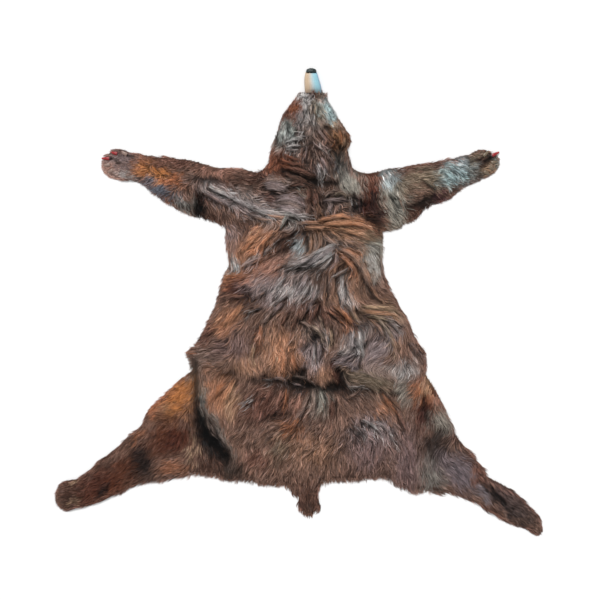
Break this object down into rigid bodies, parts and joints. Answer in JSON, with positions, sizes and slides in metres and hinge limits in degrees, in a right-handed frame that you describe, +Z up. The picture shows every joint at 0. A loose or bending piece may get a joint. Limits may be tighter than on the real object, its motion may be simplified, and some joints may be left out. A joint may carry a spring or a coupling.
{
  "type": "bearskin rug",
  "caption": "Whole bear hide laid flat as a floor rug, fur side up, with head, legs, tail, nose pad and front claws.",
  "frame": {"origin": "middle of the rug's outline, on the floor", "axes": "+X to the right and +Y towards the snout as seen from above, +Z up out of the fur"},
  "size_m": [1.939, 1.8756, 0.0478],
  "materials": {
    "fur": "long brown bear fur with grey-lilac and orange-brown areas, lying towards the tail and the paws",
    "nose": "dark, finely pebbled nose leather with a soft shine",
    "claw": "smooth dark horn with a red tone and fine lengthwise lines"
  },
  "bodies": {
    "root": {"pelt": "fur", "nose_pad": "nose", "claw_left_1": "claw", "claw_left_2": "claw", "claw_left_3": "claw", "claw_left_4": "claw", "claw_left_5": "claw", "claw_right_1": "claw", "claw_right_2": "claw", "claw_right_3": "claw", "claw_right_4": "claw", "claw_right_5": "claw"}
  },
  "joints": []
}
